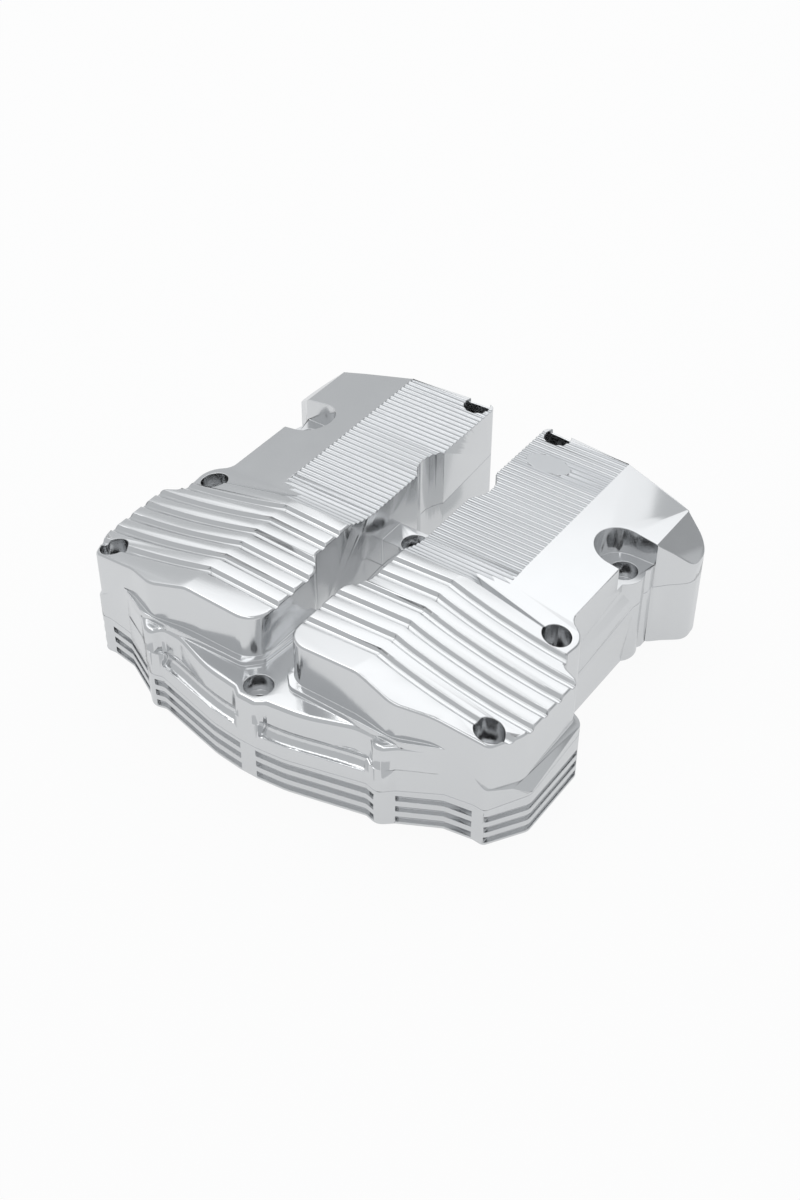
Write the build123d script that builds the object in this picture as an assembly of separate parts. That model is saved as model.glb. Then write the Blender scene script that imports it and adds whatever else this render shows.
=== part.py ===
from build123d import *
from math import sqrt
import os

os.makedirs("parts", exist_ok=True)

# Drawn in mm, X to the right, Y to the back, Z up. Z = 0 is the seating face of the housing,
# X = 0 is the mirror plane and Y = 0 the axis of the front middle screw. The last step moves
# the pieces along Y, so that the origin is in the middle of the cover's length.

# Screw seats of the right half
FRONT_SCREW = (0, 0)
BRIDGE_SCREW = (0, 115.8)
CORNER_SCREW = (100, 22.7)
SIDE_SCREW = (93.5, 85.3)
POCKET_SCREW = (89, 152.5)
BACK_SCREW = (23.1, 202.1)
SCREW_HOLE_DIA = 6.8
HEAD_SEAT_DIA = 13
DEEP_SEAT_Z = 44
SHALLOW_SEAT_DEPTH = 9
SCREW_BOSS_RADIUS = 9.5

# Heights
FLOOR_Z = 45.7
LEDGE_Z = 48
BRIDGE_Z = 45
POCKET_Z = 47
PARTING_Z = 20
PARTING_RISE = 0.085

# Valley between the lobes, half widths and lengths
VALLEY_FRONT_X = 7.3
VALLEY_REAR_X = 14.5
VALLEY_STEP_START_Y = 50
VALLEY_STEP_END_Y = 60
SCALLOP_Y = 149.5
SCALLOP_DEPTH = 4.8
SCALLOP_HALF_LENGTH = 11
SCALLOP_WALL = 4.5
BRIDGE_FRONT_Y = 109.5
BRIDGE_BACK_Y = 124.5
BRIDGE_BOSS_RADIUS = 8
BRIDGE_SLOPE = 5.5
BRIDGE_FILLET = 3

# Plan of a lobe
LOBE_FRONT_Y = 8
LOBE_BACK_Y = 206
LOBE_TIP_Y = LOBE_BACK_Y + 0.6
WALL_OUT_X = 113
FLANK_X = 93.5
REAR_EDGE_X = 98.6
SHOULDER_BACK_Y = 71

# Wide grooves over the front of each lobe
WIDE_GROOVE_COUNT = 6
WIDE_GROOVE_FIRST_Y = 23.4
WIDE_GROOVE_PITCH = 10.55
WIDE_GROOVE_HALF_WIDTH = 2.5
WIDE_GROOVE_DEPTH = 1.6
WIDE_GROOVE_BOW_X = 70
WIDE_GROOVE_BOW = 1.2
WIDE_GROOVE_END_SHIFT = 2.4
WIDE_GROOVE_LAST_Y = WIDE_GROOVE_FIRST_Y + (WIDE_GROOVE_COUNT - 1) * WIDE_GROOVE_PITCH

# Roof: crease line, fall to the sides, concave ramp down to the rear panel
CREASE_X = 45
CREASE_Z = 71.4
ROOF_INNER_DROP = 1.6
ROOF_INNER_Z = CREASE_Z - ROOF_INNER_DROP
FRONT_FALL = 0.236
PANEL_DROP = 7
PANEL_Z = CREASE_Z - PANEL_DROP
PANEL_X = 61.8
REAR_FALL = 0.155
RAMP_RADIUS = 42
LAST_LAND = 8.35
RAMP_LENGTH = 21.5
RAMP_START_Y = WIDE_GROOVE_LAST_Y + LAST_LAND
RAMP_END_Y = RAMP_START_Y + RAMP_LENGTH
RAMP_REACH = 0.7
FACET_BLEND_FALL = 0.6
REAR_CORNER_Z = 45
REAR_CORNER_X = 113

# Fine grooves of the rear panel
FINE_GROOVE_PITCH = 3.14
FINE_GROOVE_FIRST_Y = RAMP_START_Y + 0.7
FINE_GROOVE_END_Y = LOBE_BACK_Y - 4
FINE_GROOVE_COUNT = int((FINE_GROOVE_END_Y - FINE_GROOVE_FIRST_Y) / FINE_GROOVE_PITCH) + 1
FINE_GROOVE_HALF_WIDTH = 1.15
FINE_GROOVE_DEPTH = 0.6
PAD_AT = (30.8, 180.9)
PAD_LENGTH = 23.5
PAD_WIDTH = 12.6

# Pocket round the side screw behind the flank
POCKET_AT = (87.5, 151.5)
POCKET_RADIUS = 12.7
POCKET_BOSS_RADIUS = 10

# Housing flanks beside the lobes
FLANK_LOW_X = 96
FLANK_JOINT_X = 98
FLANK_FOOT_Z = 38
FLANK_FOOT_FALL = 1.8
FLANK_FOOT_RISE = 0.15
SHOULDER_X = 116.2
SHOULDER_FRONT_Y = 33
SHOULDER_LOW_Z = 23.5
SHOULDER_STEEP = 1.7
SHOULDER_RISE = 0.2
SHOULDER_WALL_Z = 29.6
SHOULDER_FALL = 0.64

# Front skirt
PANEL_FOOT_Z = 33
CHANNEL_Z = 31
CHANNEL_RADIUS = 4
CHANNEL_POINTS = [(6.5, -9.6), (19, -8.6), (34, -5.2), (55, -0.6)]

# Fins of the housing
FIN_GROOVE_HEIGHTS = (2.9, 9.2, 15.5)
FIN_GROOVE_WIDTH = 3.2
FIN_GROOVE_DEPTH = 2.4
FIN_MIDDLE_X = (0, 4.2)
FIN_PILLAR_X = (60, 68)
FIN_CORNER_X = (98.5, 104.5)
FIN_END_Y = 70

# Hollow inside and sealing
WALL = 7
ROOF_WALL = 6
SEAL_LAND = 0.9
SEAL_GROOVE_WIDTH = 2.6
SEAL_GROOVE_DEPTH = 2
SEAL_SIDE_GAP = 0.15

# Edge roundings
ROOF_EDGE_RADIUS = 1.5
SKIRT_EDGE_RADIUS = 2.4
SKIRT_RIM_END_Y = 16

# Reach of the cutting blocks past the part
PAST = 20

LENGTH_END_Y = LOBE_BACK_Y + PAST
BLANK_Z = CREASE_Z + PAST / 4
SIDE_END_X = WALL_OUT_X + PAST


def rounded_face(corners):
    """Flat face through corners given as x, y and corner radius."""
    points = [(x, y) for x, y, radius in corners]
    radii = [radius for x, y, radius in corners]
    return make_face(FilletPolyline(*points, radius=radii, close=True))


def block(corners, bottom, top):
    """Upright block over rounded corners."""
    return extrude(Pos(0, 0, bottom) * rounded_face(corners), top - bottom)


def across(points, start, end):
    """Block with a side profile of y, z points, running along X."""
    face = make_face(Polyline(*[(start, y, z) for y, z in points], close=True))
    return extrude(face, end - start, dir=(1, 0, 0))


def along(points, start, end):
    """Block with a front profile of x, z points, running along Y."""
    face = make_face(Polyline(*[(x, start, z) for x, z in points], close=True))
    return extrude(face, end - start, dir=(0, 1, 0))


def above_plane(at, slope_x, slope_y):
    """Everything above a plane through a point that rises along X and Y by the slopes."""
    reach = 4 * SIDE_END_X
    plane = Plane(at, x_dir=(1, 0, slope_x), z_dir=(-slope_x, -slope_y, 1))
    return plane * Box(reach, reach, reach, align=(Align.CENTER, Align.CENTER, Align.MIN))


def post(centre, radius, bottom, top):
    """Upright round bar."""
    return Pos(*centre, bottom) * Cylinder(
        radius, top - bottom, align=(Align.CENTER, Align.CENTER, Align.MIN)
    )


def both_sides(shape):
    """The shape and its mirror image."""
    return [shape, mirror(shape, Plane.YZ)]


def parting_height(y):
    return PARTING_Z + PARTING_RISE * y


def below_parting(drop):
    """Everything under the sloping joint face, lowered by a drop."""
    return across(
        [
            (-PAST, parting_height(-PAST) - drop),
            (LENGTH_END_Y, parting_height(LENGTH_END_Y) - drop),
            (LENGTH_END_Y, -PAST),
            (-PAST, -PAST),
        ],
        -SIDE_END_X,
        SIDE_END_X,
    )


# Plan outlines of the right half
LOBE_CORNERS = [
    (VALLEY_FRONT_X, LOBE_FRONT_Y, 11),
    (46, LOBE_FRONT_Y, 60),
    (64, 5.2, 14),
    (80, 11.4, 30),
    (105, 15.2, 5),
    (112.2, 31, 14),
    (113.2, SHOULDER_BACK_Y, 3.5),
    (105, 73.2, 3),
    (102.6, 80, 3),
    (104, 92, 10),
    (FLANK_X, 98, 6),
    (FLANK_X, 150, 0),
    (REAR_EDGE_X, 160, 0),
    (REAR_EDGE_X, 195.2, 0),
    (PANEL_X, 202.8, 60),
    (23, LOBE_BACK_Y, 0),
    (VALLEY_REAR_X, LOBE_TIP_Y, 4),
    (VALLEY_REAR_X, VALLEY_STEP_END_Y, 5),
    (VALLEY_FRONT_X, VALLEY_STEP_START_Y, 5),
]
BASE_CORNERS = [
    (0, -10.1, 0),
    (5, -10.1, 8),
    (19, -8.8, 40),
    (34, -5.4, 60),
    (55.5, -0.4, 4),
    (62, -2, 6),
    (68, 3, 6),
    (91, 14.9, 10),
    (104.8, 14, 3),
    (116.2, 31.6, 6),
    (116.2, 72, 4),
    (96.2, 76, 6),
    (96, 156, 6),
    (113.4, 176, 8),
    (112.5, 191, 10),
    (PANEL_X, 202.8, 60),
    (23, LOBE_BACK_Y, 0),
    (VALLEY_REAR_X, LOBE_TIP_Y, 4),
    (0, LOBE_TIP_Y, 0),
]
LEDGE_CORNERS = [
    (4.5, VALLEY_STEP_START_Y, 0),
    (4.5, 30, 60),
    (6, 12, 6),
    (12.5, 4.9, 6),
    (60, 4.2, 30),
    (69, 4.6, 12),
    (91, 14.5, 0),
    (80, 30, 0),
    (20, VALLEY_STEP_START_Y, 0),
]
REAR_BLOCK_CORNERS = [
    (85, 163.8, 0),
    (99, 163.8, 4),
    (104.5, 169, 3),
    (113.4, 176, 8),
    (112.5, 191, 10),
    (PANEL_X, 202.8, 0),
]
SHOULDER_CORNERS = [
    (104.8, 14, 3),
    (SHOULDER_X, 31.6, 6),
    (SHOULDER_X, 72.5, 3.5),
    (105, 73.2, 0),
    (CREASE_X, 60, 0),
    (CREASE_X, 30, 0),
    (91, 14.9, 0),
]
HOLLOW_INNER_X = VALLEY_REAR_X + SCALLOP_DEPTH + SCALLOP_WALL
HOLLOW_SIDE_X = SIDE_SCREW[0] - SCREW_BOSS_RADIUS
HOLLOW_POCKET_X = POCKET_AT[0] - POCKET_RADIUS - WALL
HOLLOW_CORNERS = [
    (VALLEY_FRONT_X + WALL, LOBE_FRONT_Y + WALL, 6),
    (64, 12.6, 0),
    (80, 18.6, 0),
    (WALL_OUT_X - WALL, 40.5, 5),
    (WALL_OUT_X - WALL, 64.5, 5),
    (HOLLOW_SIDE_X, 68, 0),
    (HOLLOW_SIDE_X, 126, 0),
    (HOLLOW_POCKET_X, 140, 0),
    (HOLLOW_POCKET_X, 164, 0),
    (REAR_EDGE_X - WALL, 178, 0),
    (REAR_EDGE_X - WALL, 189.5, 5),
    (PANEL_X, 195.6, 0),
    (34, 198, 0),
    (HOLLOW_INNER_X, 187.5, 0),
    (HOLLOW_INNER_X, 63, 0),
    (VALLEY_FRONT_X + WALL, 53, 0),
]
SKIRT_REACH = [
    (0, -PAST, 0),
    (CREASE_X * 2, -PAST, 0),
    (CREASE_X * 2, 24, 0),
    (CREASE_X, VALLEY_STEP_START_Y, 0),
    (0, VALLEY_STEP_START_Y, 0),
]
SKIRT_CORNERS = [
    (0, -10.1, 0),
    (4.4, -10.1, 3.2),
    (8.6, -7, 3.2),
    (26, -4.9, 60),
    (47, 2.8, 20),
    (56.4, 3.2, 3.2),
    (59.6, -1.6, 3.2),
    (64, -0.6, 3.2),
    (69, 3.8, 8),
    (90, 14.4, 0),
    (CREASE_X * 2, 24, 0),
    (CREASE_X, VALLEY_STEP_START_Y, 0),
    (0, VALLEY_STEP_START_Y, 0),
]


def facet(x_start, z_start, fall):
    """Profile of the space above a facet that falls outwards."""
    return [
        (x_start, z_start),
        (SIDE_END_X, z_start - fall * (SIDE_END_X - x_start)),
        (SIDE_END_X, BLANK_Z + PAST),
        (x_start, BLANK_Z + PAST),
    ]


def space_over_roof():
    """What is cut away above the two roof planes of a lobe."""
    inner = [
        (-PAST, ROOF_INNER_Z),
        (VALLEY_FRONT_X, ROOF_INNER_Z),
        (CREASE_X, CREASE_Z),
        (CREASE_X, BLANK_Z + PAST),
        (-PAST, BLANK_Z + PAST),
    ]
    outer = facet(CREASE_X, CREASE_Z, FRONT_FALL)
    return along(inner, -PAST, LENGTH_END_Y) + along(outer, -PAST, LENGTH_END_Y)


def panel_height(y):
    """Height of the ramp and of the flat panel behind it."""
    if y > RAMP_END_Y:
        return PANEL_Z
    return PANEL_Z + RAMP_RADIUS - sqrt(RAMP_RADIUS**2 - (RAMP_END_Y - y) ** 2)


def space_over_rear():
    """What is cut away above the ramp with its panel, and above the rear outer facet."""
    start = RAMP_END_Y - RAMP_RADIUS * RAMP_REACH
    middle = (RAMP_END_Y + start) / 2
    top = BLANK_Z + PAST
    low = (-PAST, start, panel_height(start))
    ramp = ThreePointArc(low, (-PAST, middle, panel_height(middle)), (-PAST, RAMP_END_Y, PANEL_Z))
    back = (-PAST, LENGTH_END_Y, PANEL_Z)
    rest = Polyline(ramp @ 1, back, (-PAST, LENGTH_END_Y, top), (-PAST, start, top), low)
    inner = extrude(make_face(ramp + rest), SIDE_END_X + PAST, dir=(1, 0, 0))
    rear_z = PANEL_Z + REAR_FALL * (PANEL_X - CREASE_X)
    outer = along(facet(CREASE_X, rear_z, REAR_FALL), RAMP_START_Y, LENGTH_END_Y)
    outer &= above_plane((CREASE_X, RAMP_START_Y, CREASE_Z), -FRONT_FALL, -FACET_BLEND_FALL)
    return inner, outer


def roof_rim(shape):
    """Edges where the roof planes meet the walls."""
    roof = [face for face in shape.faces() if face.normal_at(face.center()).Z > 0.5]
    edges = [edge for face in roof for edge in face.edges()]
    return [edge for edge in edges if sum(edge.is_same(other) for other in edges) == 1]


def top_rim(shape, height):
    """Edges of the flat top at a height."""
    return shape.faces().filter_by(Plane.XY).filter_by_position(Axis.Z, height - 0.01, height + 0.01).edges()


def lobe_body(roof_space, rear_space):
    """One lobe with rounded roof edges, ramp, panel and facets."""
    lobe = block(LOBE_CORNERS, 0, BLANK_Z) - roof_space
    lobe = fillet(roof_rim(lobe), ROOF_EDGE_RADIUS)
    for space in rear_space:
        lobe -= space
    return lobe


def flank():
    """Side wall of the housing with the ledge above it, and the boss of the pocket screw."""
    profile = [
        (CREASE_X, 0),
        (FLANK_LOW_X, 0),
        (FLANK_JOINT_X, parting_height(FIN_END_Y)),
        (FLANK_JOINT_X, POCKET_Z),
        (CREASE_X, POCKET_Z),
    ]
    body = along(profile, FIN_END_Y, POCKET_SCREW[1])
    body -= above_plane((FLANK_X, BRIDGE_FRONT_Y, FLANK_FOOT_Z), -FLANK_FOOT_FALL, FLANK_FOOT_RISE)
    return body + post(POCKET_SCREW, POCKET_BOSS_RADIUS, 0, POCKET_Z)


def rear_corner():
    """Corner block behind the pocket with its steep facet."""
    edge_z = PANEL_Z - REAR_FALL * (REAR_EDGE_X - PANEL_X)
    slope = (edge_z - REAR_CORNER_Z) / (REAR_CORNER_X - REAR_EDGE_X)
    body = block(REAR_BLOCK_CORNERS, 0, BLANK_Z)
    body -= above_plane((REAR_EDGE_X, LOBE_BACK_Y, edge_z), -slope, 0)
    return body - above_plane((REAR_EDGE_X, LOBE_BACK_Y, edge_z), -REAR_FALL, 0)


def shoulder():
    """Sloping ledge beside the front of a lobe."""
    body = block(SHOULDER_CORNERS, 0, LEDGE_Z)
    body -= above_plane((SHOULDER_X, SHOULDER_FRONT_Y, SHOULDER_LOW_Z), -SHOULDER_STEEP, SHOULDER_RISE)
    return body - above_plane((WALL_OUT_X, SHOULDER_FRONT_Y, SHOULDER_WALL_Z), -SHOULDER_FALL, PARTING_RISE)


def skirt():
    """Front floor and skirt with recessed panels between pillars and a rounded rim."""
    body = block(SKIRT_CORNERS, PANEL_FOOT_Z, FLOOR_Z)
    rim = top_rim(body, FLOOR_Z).filter_by(lambda edge: edge.center().Y < SKIRT_RIM_END_Y)
    rim = rim.filter_by(Axis.Y, reverse=True)
    foot = block(BASE_CORNERS, 0, PANEL_FOOT_Z) & block(SKIRT_REACH, 0, PANEL_FOOT_Z)
    return fillet(rim, SKIRT_EDGE_RADIUS) + foot


def roof_height(x):
    """Height of the front roof planes at a distance from the mirror plane."""
    if x > CREASE_X:
        return CREASE_Z - FRONT_FALL * (x - CREASE_X)
    return ROOF_INNER_Z + (CREASE_Z - ROOF_INNER_Z) * (x - VALLEY_FRONT_X) / (CREASE_X - VALLEY_FRONT_X)


def groove_profile(half_width, depth):
    """Cross-section of a groove with a narrow floor and slanting flanks, open at the top."""
    floor = half_width / 3
    spread = (half_width - floor) * 2
    bottom = [(-floor, -depth), (floor, -depth)]
    top = [(floor + spread, depth), (-floor - spread, depth)]
    return make_face(Polyline(*bottom, *top, close=True))


def wide_grooves():
    """Grooves that run straight over the inner roof plane and bowed over the outer one."""
    profile = groove_profile(WIDE_GROOVE_HALF_WIDTH, WIDE_GROOVE_DEPTH)
    start_x = VALLEY_FRONT_X - PAST
    end_x = WALL_OUT_X + PAST / 4
    tools = []
    for index in range(WIDE_GROOVE_COUNT):
        y = WIDE_GROOVE_FIRST_Y + index * WIDE_GROOVE_PITCH
        crease = (CREASE_X, y, CREASE_Z)
        bow = (WIDE_GROOVE_BOW_X, y - WIDE_GROOVE_BOW, roof_height(WIDE_GROOVE_BOW_X))
        end = (end_x, y + WIDE_GROOVE_END_SHIFT, roof_height(end_x))
        for path in (Line((start_x, y, roof_height(start_x)), crease), ThreePointArc(crease, bow, end)):
            plane = Plane(path @ 0, x_dir=(0, 1, 0), z_dir=path % 0)
            tools.append(sweep(plane * profile, path=path))
    return tools


def fine_grooves():
    """Row of small grooves over the ramp and the panel."""
    tools = []
    profile = groove_profile(FINE_GROOVE_HALF_WIDTH, FINE_GROOVE_DEPTH)
    for index in range(FINE_GROOVE_COUNT):
        y = FINE_GROOVE_FIRST_Y + index * FINE_GROOVE_PITCH
        lean = max(RAMP_END_Y - y, 0) / RAMP_RADIUS
        level = sqrt(1 - lean**2)
        place = Plane((VALLEY_REAR_X - PAST, y, panel_height(y)), x_dir=(0, level, -lean), z_dir=(1, 0, 0))
        tools.append(extrude(place * profile, PANEL_X - VALLEY_REAR_X + PAST))
    return tools


def badge_pad():
    """Oval land left standing in the fine grooves."""
    land = Ellipse(PAD_LENGTH / 2, PAD_WIDTH / 2)
    return extrude(Pos(*PAD_AT, PANEL_Z - PAST / 2) * land, PAST)


def screw_cut(at, rim_z, floor_z):
    """Head seat and through hole of one screw."""
    return post(at, HEAD_SEAT_DIA / 2, floor_z, rim_z) + post(at, SCREW_HOLE_DIA / 2, -PAST, rim_z)


def valley():
    """Open ways between the lobes in front of the bridge and behind it."""
    bridge_end_y = BRIDGE_BACK_Y + BRIDGE_SLOPE
    rear = [
        (-VALLEY_REAR_X, bridge_end_y, 0),
        (VALLEY_REAR_X, bridge_end_y, 0),
        (VALLEY_REAR_X, LENGTH_END_Y, 0),
        (-VALLEY_REAR_X, LENGTH_END_Y, 0),
    ]
    middle = [
        (-VALLEY_REAR_X, VALLEY_STEP_END_Y, 0),
        (-VALLEY_FRONT_X, VALLEY_STEP_START_Y, 0),
        (VALLEY_FRONT_X, VALLEY_STEP_START_Y, 0),
        (VALLEY_REAR_X, VALLEY_STEP_END_Y, 0),
        (VALLEY_REAR_X, BRIDGE_FRONT_Y, BRIDGE_FILLET),
        (-VALLEY_REAR_X, BRIDGE_FRONT_Y, BRIDGE_FILLET),
    ]
    return [block(middle, -PAST, BLANK_Z), block(rear, -PAST, BLANK_Z)]


def bridge():
    """Low bridge between the lobes with its round screw boss."""
    reach = VALLEY_REAR_X + WALL / 2
    back_y = BRIDGE_BACK_Y + BRIDGE_SLOPE
    profile = [
        (BRIDGE_FRONT_Y, 0),
        (BRIDGE_FRONT_Y, BRIDGE_Z),
        (BRIDGE_BACK_Y, BRIDGE_Z),
        (back_y, BRIDGE_Z - BRIDGE_SLOPE),
        (back_y, 0),
    ]
    return across(profile, -reach, reach) + post(BRIDGE_SCREW, BRIDGE_BOSS_RADIUS, 0, BRIDGE_Z)


def scallop():
    """Clearance arc in the inner wall of a lobe."""
    radius = (SCALLOP_HALF_LENGTH**2 + SCALLOP_DEPTH**2) / (2 * SCALLOP_DEPTH)
    return post((VALLEY_REAR_X + SCALLOP_DEPTH - radius, SCALLOP_Y), radius, -PAST, BLANK_Z)


def pocket():
    """D-shaped pocket over the side screw behind the flank, open to the side."""
    x, y = POCKET_AT
    side = [
        (x, y - POCKET_RADIUS, 0),
        (SIDE_END_X, y - POCKET_RADIUS, 0),
        (SIDE_END_X, y + POCKET_RADIUS, 0),
        (x, y + POCKET_RADIUS, 0),
    ]
    return post(POCKET_AT, POCKET_RADIUS, POCKET_Z, BLANK_Z) + block(side, POCKET_Z, BLANK_Z)


def skirt_channel():
    """Half-round channel along the foot of a skirt panel."""
    path = Pos(0, 0, CHANNEL_Z) * Spline(*CHANNEL_POINTS)
    return sweep(Plane(path @ 0, z_dir=path % 0) * Circle(CHANNEL_RADIUS), path=path)


def fin_grooves():
    """Level grooves that leave the fins, interrupted at the pillars."""
    core = rounded_face([(x, y, 0) for x, y, radius in BASE_CORNERS])
    core = offset(core + mirror(core, Plane.YZ), -FIN_GROOVE_DEPTH, kind=Kind.INTERSECTION)
    front = Rectangle(2 * SIDE_END_X, FIN_END_Y + PAST, align=(Align.CENTER, Align.MIN))
    ring = Pos(0, -PAST) * front - core
    for start, end in (FIN_MIDDLE_X, FIN_PILLAR_X, FIN_CORNER_X):
        for pillar in both_sides(Pos((start + end) / 2, 0) * Rectangle(end - start, FIN_END_Y)):
            ring -= pillar
    low = FIN_GROOVE_WIDTH / 2
    return [extrude(Pos(0, 0, height - low) * ring, FIN_GROOVE_WIDTH) for height in FIN_GROOVE_HEIGHTS]


def cavity(plan, roof_space, rear_space):
    """Hollow of one lobe from below up to the inside of the roof."""
    hollow = extrude(Pos(0, 0, -PAST) * plan, BLANK_Z + PAST)
    for space in (roof_space, *rear_space):
        hollow -= Pos(0, 0, -ROOF_WALL) * space
    return hollow


def seal_band(plan, gap):
    """Plan of the seal groove round a hollow, narrowed by a gap on each side."""
    outer = offset(plan, SEAL_LAND + SEAL_GROOVE_WIDTH - gap, kind=Kind.INTERSECTION)
    return outer - offset(plan, SEAL_LAND + gap, kind=Kind.INTERSECTION)


def seal_solid(plan, gap):
    """The seal band as a solid that follows the sloping joint face."""
    band = extrude(seal_band(plan, gap), BLANK_Z)
    return (band & below_parting(0)) - below_parting(SEAL_GROOVE_DEPTH)


roof_space = space_over_roof()
rear_space = space_over_rear()
screws = [
    (FRONT_SCREW, FLOOR_Z, FLOOR_Z - SHALLOW_SEAT_DEPTH),
    (BRIDGE_SCREW, BRIDGE_Z, BRIDGE_Z - SHALLOW_SEAT_DEPTH),
    (CORNER_SCREW, BLANK_Z, DEEP_SEAT_Z),
    (SIDE_SCREW, BLANK_Z, DEEP_SEAT_Z),
    (POCKET_SCREW, BLANK_Z, POCKET_Z - SHALLOW_SEAT_DEPTH),
    (BACK_SCREW, BLANK_Z, DEEP_SEAT_Z),
]

half = lobe_body(roof_space, rear_space)
for piece in (skirt(), flank(), shoulder(), rear_corner(), block(LEDGE_CORNERS, 0, LEDGE_Z)):
    half += piece
for cut in (pocket(), skirt_channel(), *wide_grooves(), *valley(), scallop()):
    half -= cut

ribs = fine_grooves()
pad = badge_pad()
left = mirror(half - ribs, Plane.YZ)
right = half - [rib - pad for rib in ribs]
body = left + right + bridge()
body -= fin_grooves()
for at, rim, floor in screws:
    for cut in both_sides(screw_cut(at, rim, floor)):
        body -= cut

plan = rounded_face(HOLLOW_CORNERS)
for hollow in both_sides(cavity(plan, roof_space, rear_space)):
    body -= hollow

upper = body - below_parting(0)
lower = body & below_parting(0)
for groove in both_sides(seal_solid(plan, 0)):
    lower -= groove
right_seal, left_seal = both_sides(seal_solid(plan, SEAL_SIDE_GAP))

centred = Pos(0, -body.bounding_box().center().Y, 0)
pieces = {
    "upper_cover": upper,
    "lower_housing": lower,
    "cover_seal_right": right_seal,
    "cover_seal_left": left_seal,
}
for name, piece in pieces.items():
    export_step(centred * piece, f"parts/{name}.step")
    print(name, round(piece.volume), "mm3", len(piece.solids()), "solid", piece.is_valid)
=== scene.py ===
import math

import bmesh
import bpy
from mathutils import Matrix, Vector


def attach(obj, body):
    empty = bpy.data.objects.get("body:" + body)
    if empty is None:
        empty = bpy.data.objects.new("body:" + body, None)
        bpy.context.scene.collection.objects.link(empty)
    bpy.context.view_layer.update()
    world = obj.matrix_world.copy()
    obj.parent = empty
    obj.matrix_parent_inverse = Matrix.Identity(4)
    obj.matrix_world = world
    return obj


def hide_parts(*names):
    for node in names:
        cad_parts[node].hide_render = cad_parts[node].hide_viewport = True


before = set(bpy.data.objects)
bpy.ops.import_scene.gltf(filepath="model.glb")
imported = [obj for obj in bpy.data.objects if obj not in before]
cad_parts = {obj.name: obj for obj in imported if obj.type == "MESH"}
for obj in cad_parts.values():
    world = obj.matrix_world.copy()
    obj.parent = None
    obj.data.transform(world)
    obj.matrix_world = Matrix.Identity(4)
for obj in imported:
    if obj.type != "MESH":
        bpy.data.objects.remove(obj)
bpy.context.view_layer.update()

MM = 0.001

# The drawing's lengths are in mm, with Y counted from the axis of the front middle screw
FRONT_SCREW_Y = -98.104

# Screw seats of the right half, mirrored on the left
SCREW_SEATS = [(0, 0), (0, 115.8), (100, 22.7), (93.5, 85.3), (89, 152.5), (23.1, 202.1)]
HEAD_SEAT_RADIUS = 6.5
HEAD_SEAT_ALLOWANCE = 0.065

# Front roof planes of a lobe, and the flat panel behind them
CREASE_X = 45
CREASE_Z = 71.4
ROOF_INNER_X = 7.3
ROOF_INNER_Z = 69.8
FRONT_FALL = 0.236
RAMP_START_Y = 84.5
RIB_OVERRUN = 1
PANEL_Z = 64.4
LEVEL_ERROR = 0.05

# Fine grooves: their faces look up, lie near the panel's height and have inward corners round a share of them
GROOVE_REACH = 2
GROOVE_LEAST_UP = 0.4
GROOVE_INWARD_SHARE = 0.3

# Oval pad on the right panel, with the share of its size in which its faces have their centres
PAD_AT = (30.8, 180.9)
PAD_SIZE = (23.5, 12.6)
PAD_MIDDLE = 0.4

# Corners nearer than this are one, and faces that turn by fewer degrees are one
SAME_CORNER = 0.002
SAME_FACE_TURN = 0.5

# Slope of the joint between cover and housing, and the corners past which its faces are cut up
JOINT_SLOPE = 0.085
LONG_OUTLINE = 60

# Rounding of the edges that turn by more degrees than this
SHARP_ANGLE = 28
EDGE_ROUNDING = 0.3
ROUNDING_SEGMENTS = 2

# Pillars of the skirt, where the ledge under the recesses runs out to nothing
LEDGE_ENDS = [Vector((60, -1, 33)), Vector((4.2, -10, 33))]
LEDGE_END_REACH = 7

# Kinks of the wide grooves at the crease of the roof
KINK_REACH = 1
KINK_MERGE = 0.45

# Wall behind the head seat of a back screw
BACK_WALL_OUTSIDE = [(17.0, 206.2), (23.0, 205.9), (29.4, 205.4)]
BACK_WALL_THICKNESS = 1.0
BACK_WALL_BOTTOM = 43
BACK_WALL_TOP = 62.6
BACK_WALL_RIM = 1

# Studio floor, with the shares of plain white that the eye and the mirrored rays get from it
FLOOR_HALF_WIDTH = 6000
WHITE_SEEN = 0.93
WHITE_MIRRORED = 0.75

# Camera matched to the photograph, with angles in degrees
CAMERA_AT = (348.257, -396.508, 551.810)
CAMERA_AZIMUTH = 34.853
CAMERA_ELEVATION = 41.152
CAMERA_ROLL = 0.2735
FOCAL_LENGTH_PIXELS = 1732.66
PHOTO_HEIGHT_PIXELS = 1200
FILM_HEIGHT = 36
NEAREST_SEEN = 10


def place(x, y, z):
    """Point of the drawing in the frame, in metres."""
    return Vector((x, y + FRONT_SCREW_Y, z)) * MM


def in_drawing(point):
    """Point of the frame in the drawing's mm."""
    return point / MM - Vector((0, FRONT_SCREW_Y, 0))


# Finishes

def linear(code):
    """Hex sRGB colour as the linear colour a socket takes."""
    parts = [int(code[i:i + 2], 16) / 255 for i in (1, 3, 5)]
    return tuple(c / 12.92 if c <= 0.04045 else ((c + 0.055) / 1.055) ** 2.4 for c in parts) + (1,)


def node(tree, kind, values=None, links=None):
    """Adds a node with its socket values and its links from other sockets."""
    made = tree.nodes.new(kind)
    for key, value in (values or {}).items():
        made.inputs[key].default_value = value
    for key, source in (links or {}).items():
        tree.links.new(source, made.inputs[key])
    return made


def material(name):
    """New node material; returns the material, its tree and its output."""
    made = bpy.data.materials.new(name)
    made.use_nodes = True
    made.node_tree.nodes.clear()
    return made, made.node_tree, node(made.node_tree, "ShaderNodeOutputMaterial")


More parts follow.
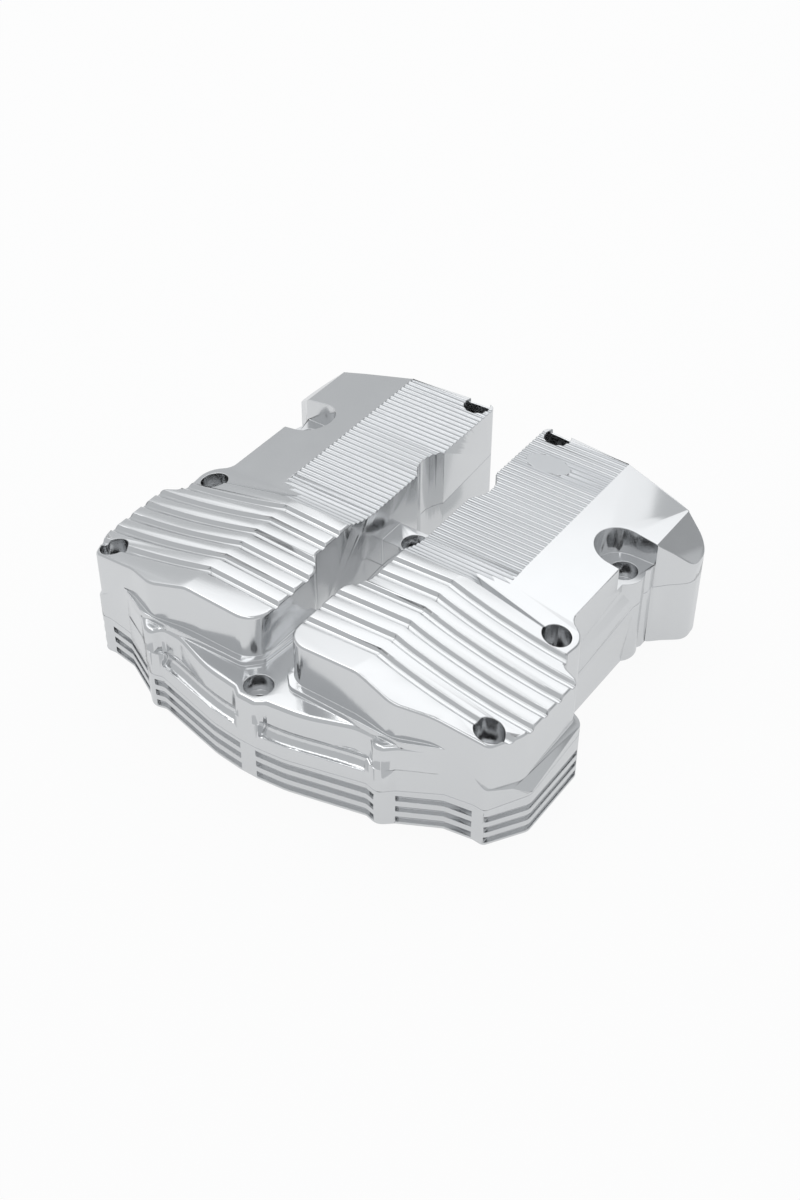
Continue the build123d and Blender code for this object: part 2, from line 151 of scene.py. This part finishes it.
def polished_aluminium():
    """Billet aluminium polished nearly to a mirror: clear reflections, softened in patches by a haze."""
    haze_width = 14 * MM
    made, tree, out = material("polished_aluminium")
    where = node(tree, "ShaderNodeTexCoord").outputs["Object"]
    haze = node(tree, "ShaderNodeTexNoise", {"Scale": 1 / haze_width, "Detail": 3.0}, {"Vector": where})
    rough = node(tree, "ShaderNodeMapRange", {"To Min": 0.10, "To Max": 0.20}, {"Value": haze.outputs["Fac"]})
    shader = node(
        tree,
        "ShaderNodeBsdfPrincipled",
        {"Base Color": linear("#E1E2E3"), "Metallic": 1.0},
        {"Roughness": rough.outputs["Result"]},
    )
    tree.links.new(shader.outputs["BSDF"], out.inputs["Surface"])
    return made


def machined_aluminium():
    """Aluminium as the cutter leaves it: straight lines along the ribs, drawn coarser so that they show."""
    line_length = 60 * MM
    line_width = 0.8 * MM
    made, tree, out = material("machined_aluminium")
    where = node(tree, "ShaderNodeTexCoord").outputs["Object"]
    scale = (1 / line_length, 1 / line_width, 1 / line_length)
    drawn = node(tree, "ShaderNodeMapping", {"Scale": scale}, {"Vector": where}).outputs["Vector"]
    lines = node(tree, "ShaderNodeTexNoise", {"Scale": 1.0, "Detail": 2.0}, {"Vector": drawn})
    depth = {"Strength": 0.35, "Distance": 0.05 * MM}
    bump = node(tree, "ShaderNodeBump", depth, {"Height": lines.outputs["Fac"]})
    shader = node(
        tree,
        "ShaderNodeBsdfPrincipled",
        {"Base Color": linear("#E3E4E5"), "Metallic": 1.0, "Roughness": 0.26},
        {"Normal": bump.outputs["Normal"]},
    )
    tree.links.new(shader.outputs["BSDF"], out.inputs["Surface"])
    return made


def drilled_aluminium():
    """Bored aluminium of the screw seats: duller, with turned rings, drawn coarser so that they show."""
    ring_reach = 40 * MM
    ring_pitch = 0.7 * MM
    made, tree, out = material("drilled_aluminium")
    where = node(tree, "ShaderNodeTexCoord").outputs["Object"]
    scale = (1 / ring_reach, 1 / ring_reach, 1 / ring_pitch)
    stacked = node(tree, "ShaderNodeMapping", {"Scale": scale}, {"Vector": where}).outputs["Vector"]
    rings = node(tree, "ShaderNodeTexNoise", {"Scale": 1.0, "Detail": 1.0}, {"Vector": stacked})
    depth = {"Strength": 0.3, "Distance": 0.05 * MM}
    bump = node(tree, "ShaderNodeBump", depth, {"Height": rings.outputs["Fac"]})
    shader = node(
        tree,
        "ShaderNodeBsdfPrincipled",
        {"Base Color": linear("#E0E1E2"), "Metallic": 1.0, "Roughness": 0.22},
        {"Normal": bump.outputs["Normal"]},
    )
    tree.links.new(shader.outputs["BSDF"], out.inputs["Surface"])
    return made


def grooved_aluminium():
    """Aluminium that the polish didn't reach, in the fine grooves and on the pad: darker and duller."""
    haze_width = 6 * MM
    made, tree, out = material("grooved_aluminium")
    where = node(tree, "ShaderNodeTexCoord").outputs["Object"]
    haze = node(tree, "ShaderNodeTexNoise", {"Scale": 1 / haze_width, "Detail": 3.0}, {"Vector": where})
    rough = node(tree, "ShaderNodeMapRange", {"To Min": 0.28, "To Max": 0.40}, {"Value": haze.outputs["Fac"]})
    shader = node(
        tree,
        "ShaderNodeBsdfPrincipled",
        {"Base Color": linear("#C8CACC"), "Metallic": 1.0},
        {"Roughness": rough.outputs["Result"]},
    )
    tree.links.new(shader.outputs["BSDF"], out.inputs["Surface"])
    return made


def moulded_rubber():
    """Black nitrile rubber cord, moulded: matt, with a fine grain from the mould."""
    grain_width = 0.6 * MM
    made, tree, out = material("moulded_rubber")
    where = node(tree, "ShaderNodeTexCoord").outputs["Object"]
    grain = node(tree, "ShaderNodeTexNoise", {"Scale": 1 / grain_width, "Detail": 2.0}, {"Vector": where})
    depth = {"Strength": 0.2, "Distance": 0.05 * MM}
    bump = node(tree, "ShaderNodeBump", depth, {"Height": grain.outputs["Fac"]})
    shader = node(
        tree,
        "ShaderNodeBsdfPrincipled",
        {"Base Color": linear("#1B1B1C"), "Roughness": 0.7},
        {"Normal": bump.outputs["Normal"]},
    )
    tree.links.new(shader.outputs["BSDF"], out.inputs["Surface"])
    return made


polished = polished_aluminium()
machined = machined_aluminium()
drilled = drilled_aluminium()
grooved = grooved_aluminium()
rubber = moulded_rubber()

METALS = [polished, machined, drilled, grooved]


# Tests that tell the faces and edges of the castings apart

def roof_height(x):
    """Height of the front roof planes at a distance from the mirror plane, in mm."""
    x = abs(x)
    if x > CREASE_X:
        return CREASE_Z - FRONT_FALL * (x - CREASE_X)
    return ROOF_INNER_Z + (CREASE_Z - ROOF_INNER_Z) * (x - ROOF_INNER_X) / (CREASE_X - ROOF_INNER_X)


def in_screw_seat(centre):
    """True on the walls and floor of a head seat or screw hole."""
    reach = HEAD_SEAT_RADIUS + HEAD_SEAT_ALLOWANCE
    return any(math.hypot(abs(centre.x) - x, centre.y - y) < reach for x, y in SCREW_SEATS)


def on_wide_rib(centre):
    """True on the flat lands between the wide grooves."""
    level = abs(centre.z - roof_height(centre.x)) < LEVEL_ERROR
    return level and centre.y < RAMP_START_Y + RIB_OVERRUN


def is_sharp(edge):
    """True on an edge whose faces turn too much to be shaded as one curve."""
    return edge.is_manifold and edge.calc_face_angle() > math.radians(SHARP_ANGLE)


def on_pad(centre):
    """True on the oval land among the fine grooves."""
    across = (centre.x - PAD_AT[0]) / PAD_SIZE[0]
    along = (centre.y - PAD_AT[1]) / PAD_SIZE[1]
    return math.hypot(across, along) < PAD_MIDDLE and abs(centre.z - PANEL_Z) < LEVEL_ERROR


def in_fine_groove(face, centre):
    """True on the floor or a flank of a groove behind the start of the ramp."""
    outside = centre.y < RAMP_START_Y or centre.z < PANEL_Z - GROOVE_REACH
    if outside or face.normal.z < GROOVE_LEAST_UP:
        return False
    inward = sum(edge.calc_length() for edge in face.edges if is_sharp(edge) and not edge.is_convex)
    return inward > GROOVE_INWARD_SHARE * sum(edge.calc_length() for edge in face.edges)


def on_joint(face):
    """True on the joint's wide sloping faces, whose long outlines are filled wrongly as one face."""
    falls_forward = JOINT_SLOPE / 2 < abs(face.normal.y) < JOINT_SLOPE * 2
    level_across = abs(face.normal.x) < JOINT_SLOPE / 2
    return len(face.verts) > LONG_OUTLINE and falls_forward and level_across


def at_ledge_end(edge):
    """True where the ledge is too narrow for the rounding."""
    middle = in_drawing((edge.verts[0].co + edge.verts[1].co) / 2)
    middle.x = abs(middle.x)
    return any((middle - end).length < LEDGE_END_REACH for end in LEDGE_ENDS)


def at_kink(corner):
    """True where the wide grooves turn over the crease of the roof."""
    point = in_drawing(corner.co)
    return abs(abs(point.x) - CREASE_X) < KINK_REACH and point.z > PANEL_Z and point.y < RAMP_START_Y


def metal_of(face):
    """The finish of a casting's face."""
    centre = in_drawing(face.calc_center_median())
    if in_screw_seat(centre):
        return drilled
    if on_wide_rib(centre):
        return machined
    if in_fine_groove(face, centre) or on_pad(centre):
        return grooved
    return polished


# Pieces

def add_piece(name, mesh):
    """Puts a finished mesh into the scene as a piece of the still object."""
    piece = bpy.data.objects.new(name, mesh)
    bpy.context.scene.collection.objects.link(piece)
    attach(piece, "root")
    return piece


def dressed_piece(name, cad_node, materials):
    """Copy of a CAD node with whole flat faces, rounded edges and a finish on each kind of face."""
    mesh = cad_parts[cad_node].data.copy()
    mesh.materials.clear()
    for one in materials:
        mesh.materials.append(one)
    bm = bmesh.new()
    bm.from_mesh(mesh)
    bmesh.ops.remove_doubles(bm, verts=bm.verts, dist=SAME_CORNER * MM)
    kinks = [corner for corner in bm.verts if at_kink(corner)]
    bmesh.ops.remove_doubles(bm, verts=kinks, dist=KINK_MERGE * MM)
    turn = math.radians(SAME_FACE_TURN)
    bmesh.ops.dissolve_limit(bm, angle_limit=turn, verts=bm.verts, edges=bm.edges)
    bmesh.ops.triangulate(bm, faces=[face for face in bm.faces if on_joint(face)])
    for face in bm.faces:
        face.smooth = True
        face.material_index = materials.index(metal_of(face)) if len(materials) > 1 else 0
    weight = bm.edges.layers.float.new("bevel_weight_edge")
    for edge in bm.edges:
        edge[weight] = 1.0 if is_sharp(edge) and not at_ledge_end(edge) else 0.0
    bm.to_mesh(mesh)
    bm.free()
    mesh.set_sharp_from_angle(angle=math.radians(SHARP_ANGLE))
    piece = add_piece(name, mesh)
    rounding = piece.modifiers.new("rounded_edges", "BEVEL")
    rounding.width = EDGE_ROUNDING * MM
    rounding.segments = ROUNDING_SEGMENTS
    rounding.limit_method = "WEIGHT"
    rounding.use_clamp_overlap = False
    rounding.harden_normals = True
    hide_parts(cad_node)


def back_screw_wall(name, side):
    """Thin wall that closes the head seat of a back screw towards the back."""
    mesh = bpy.data.meshes.new(name)
    bm = bmesh.new()
    inside = [(x, y - BACK_WALL_THICKNESS) for x, y in reversed(BACK_WALL_OUTSIDE)]
    plan = [bm.verts.new(place(side * x, y, BACK_WALL_BOTTOM)) for x, y in BACK_WALL_OUTSIDE + inside]
    foot = bm.faces.new(plan)
    raised = bmesh.ops.extrude_face_region(bm, geom=[foot])["geom"]
    lift = Vector((0, 0, BACK_WALL_TOP - BACK_WALL_BOTTOM)) * MM
    bmesh.ops.translate(bm, vec=lift, verts=[part for part in raised if isinstance(part, bmesh.types.BMVert)])
    rim_level = (BACK_WALL_TOP - BACK_WALL_RIM) * MM
    rim = [edge for edge in bm.edges if all(corner.co.z > rim_level for corner in edge.verts)]
    bmesh.ops.bevel(
        bm,
        geom=rim,
        offset=EDGE_ROUNDING * MM,
        segments=ROUNDING_SEGMENTS,
        profile=0.5,
        affect="EDGES",
        material=-1,
    )
    bmesh.ops.recalc_face_normals(bm, faces=bm.faces)
    bm.to_mesh(mesh)
    bm.free()
    mesh.materials.append(drilled)
    add_piece(name, mesh)


dressed_piece("cover_casting", "upper_cover", METALS)
dressed_piece("housing_casting", "lower_housing", METALS)
dressed_piece("seal_left", "cover_seal_left", [rubber])
dressed_piece("seal_right", "cover_seal_right", [rubber])
back_screw_wall("back_wall_right", 1)
back_screw_wall("back_wall_left", -1)


# Studio

def studio_floor():
    """Pale floor that shows white to the eye and keeps a faint shadow."""
    mesh = bpy.data.meshes.new("studio_floor")
    bm = bmesh.new()
    bmesh.ops.create_grid(bm, x_segments=1, y_segments=1, size=FLOOR_HALF_WIDTH * MM)
    bm.to_mesh(mesh)
    bm.free()
    floor = bpy.data.objects.new("studio_floor", mesh)
    bpy.context.scene.collection.objects.link(floor)
    made, tree, out = material("pale_floor")
    seen = node(tree, "ShaderNodeLightPath").outputs["Is Camera Ray"]
    white = {"Color": linear("#FFFFFF"), "Strength": 1.0}
    pale = {"Color": linear("#EBECED"), "Strength": 1.0}
    glow = node(tree, "ShaderNodeEmission", white).outputs["Emission"]
    sheen = node(tree, "ShaderNodeEmission", pale).outputs["Emission"]
    matt = node(tree, "ShaderNodeBsdfDiffuse", {"Color": linear("#EDEDED")}).outputs["BSDF"]
    mirrored = node(tree, "ShaderNodeMixShader", {0: WHITE_MIRRORED}, {1: matt, 2: sheen}).outputs["Shader"]
    direct = node(tree, "ShaderNodeMixShader", {0: WHITE_SEEN}, {1: matt, 2: glow}).outputs["Shader"]
    mix = node(tree, "ShaderNodeMixShader", links={0: seen, 1: mirrored, 2: direct})
    tree.links.new(mix.outputs["Shader"], out.inputs["Surface"])
    mesh.materials.append(made)


def studio_world():
    """Even grey surround, white where the eye sees it."""
    world = bpy.data.worlds.new("studio")
    bpy.context.scene.world = world
    world.use_nodes = True
    tree = world.node_tree
    tree.nodes.clear()
    out = node(tree, "ShaderNodeOutputWorld")
    seen = node(tree, "ShaderNodeLightPath").outputs["Is Camera Ray"]
    white = node(tree, "ShaderNodeBackground", {"Color": linear("#FFFFFF"), "Strength": 1.0})
    grey = node(tree, "ShaderNodeBackground", {"Color": linear("#C6C8CA"), "Strength": 1.0})
    shown = {0: seen, 1: grey.outputs["Background"], 2: white.outputs["Background"]}
    mix = node(tree, "ShaderNodeMixShader", links=shown)
    tree.links.new(mix.outputs["Shader"], out.inputs["Surface"])


def studio_camera():
    """Camera matched to the photograph's view."""
    azimuth = math.radians(CAMERA_AZIMUTH)
    elevation = math.radians(CAMERA_ELEVATION)
    roll = math.radians(CAMERA_ROLL)
    ahead = Vector((-math.sin(azimuth), math.cos(azimuth), 0))
    forward = ahead * math.cos(elevation) - Vector((0, 0, math.sin(elevation)))
    level = Vector((math.cos(azimuth), math.sin(azimuth), 0))
    above = level.cross(forward)
    right = level * math.cos(roll) + above * math.sin(roll)
    up = above * math.cos(roll) - level * math.sin(roll)
    data = bpy.data.cameras.new("camera")
    data.sensor_fit = "VERTICAL"
    data.sensor_height = FILM_HEIGHT
    data.lens = FOCAL_LENGTH_PIXELS / PHOTO_HEIGHT_PIXELS * FILM_HEIGHT
    data.clip_start = NEAREST_SEEN * MM
    camera = bpy.data.objects.new("camera", data)
    turn = Matrix((right, up, -forward)).transposed().to_4x4()
    camera.matrix_world = Matrix.Translation(place(*CAMERA_AT)) @ turn
    bpy.context.scene.collection.objects.link(camera)
    bpy.context.scene.camera = camera


def grey_card(name, at, size, turn):
    """Upright grey card, beyond the view, that gives the polish its darker reflections."""
    mesh = bpy.data.meshes.new(name)
    bm = bmesh.new()
    across = Vector((math.cos(turn), math.sin(turn), 0)) * size[0] / 2
    high = Vector((0, 0, size[1] / 2))
    centre = Vector(at)
    corners = [centre - across - high, centre + across - high, centre + across + high, centre - across + high]
    bm.faces.new([bm.verts.new(place(*corner)) for corner in corners])
    bm.to_mesh(mesh)
    bm.free()
    card = bpy.data.objects.new(name, mesh)
    bpy.context.scene.collection.objects.link(card)
    made, tree, out = material("grey_card")
    matt = node(tree, "ShaderNodeBsdfDiffuse", {"Color": linear("#B8B9BA")})
    tree.links.new(matt.outputs["BSDF"], out.inputs["Surface"])
    mesh.materials.append(made)


def soft_lamp(name, at, aim, size, power):
    """Rectangular soft lamp at a place in mm, turned to a point in mm."""
    data = bpy.data.lights.new(name, "AREA")
    data.shape = "RECTANGLE"
    data.size = size[0] * MM
    data.size_y = size[1] * MM
    data.energy = power
    lamp = bpy.data.objects.new(name, data)
    lamp.location = place(*at)
    lamp.rotation_euler = (place(*aim) - place(*at)).to_track_quat("-Z", "Y").to_euler()
    bpy.context.scene.collection.objects.link(lamp)


studio_floor()
studio_world()
studio_camera()
grey_card("right_flag", at=(900, 900, 620), size=(700, 500), turn=math.radians(-45))
# The polish mirrors the high panel in the right facets, the low one in the flats and the strip in the rims
soft_lamp("high_panel", at=(-378, 645, 1393), aim=(52, 25, 93), size=(2400, 890), power=4.9)
soft_lamp("low_panel", at=(-723, 1143, 1041), aim=(-293, 523, -259), size=(2400, 510), power=1.96)
soft_lamp("rim_strip", at=(-150, -200, 1500), aim=(0, 100, 40), size=(1700, 360), power=2.2)
bpy.context.scene.view_settings.view_transform = "Standard"
